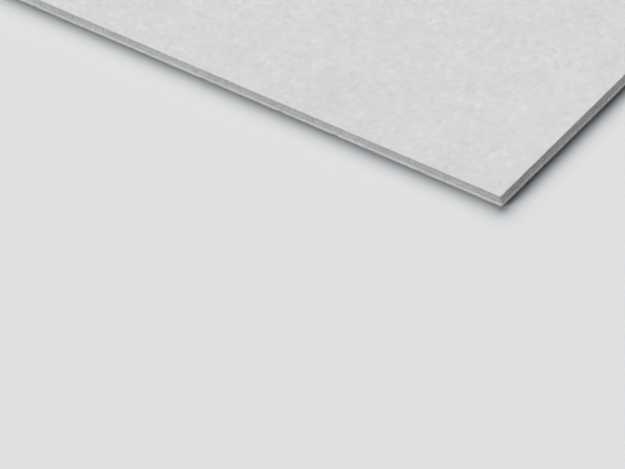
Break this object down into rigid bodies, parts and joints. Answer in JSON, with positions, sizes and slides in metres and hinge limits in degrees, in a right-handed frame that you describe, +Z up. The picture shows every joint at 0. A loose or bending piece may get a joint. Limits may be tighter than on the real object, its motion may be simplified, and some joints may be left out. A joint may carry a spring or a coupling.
{
  "type": "magnesium oxide board",
  "caption": "Flat rectangular building board of magnesium oxide, with a smooth pale grey face, a plainer back and square sawn edges that show its layered section.",
  "frame": {"origin": "middle of the board's back face, which lies on the floor", "axes": "+X along the board's length, +Y across its width, +Z up out of the smooth face"},
  "size_m": [2.44, 1.22, 0.008],
  "materials": {
    "magnesium_oxide": "smooth, matt, pale grey cast face; sawn edges a little darker and streaked along the board"
  },
  "bodies": {
    "root": {"board": "magnesium_oxide"}
  },
  "joints": []
}
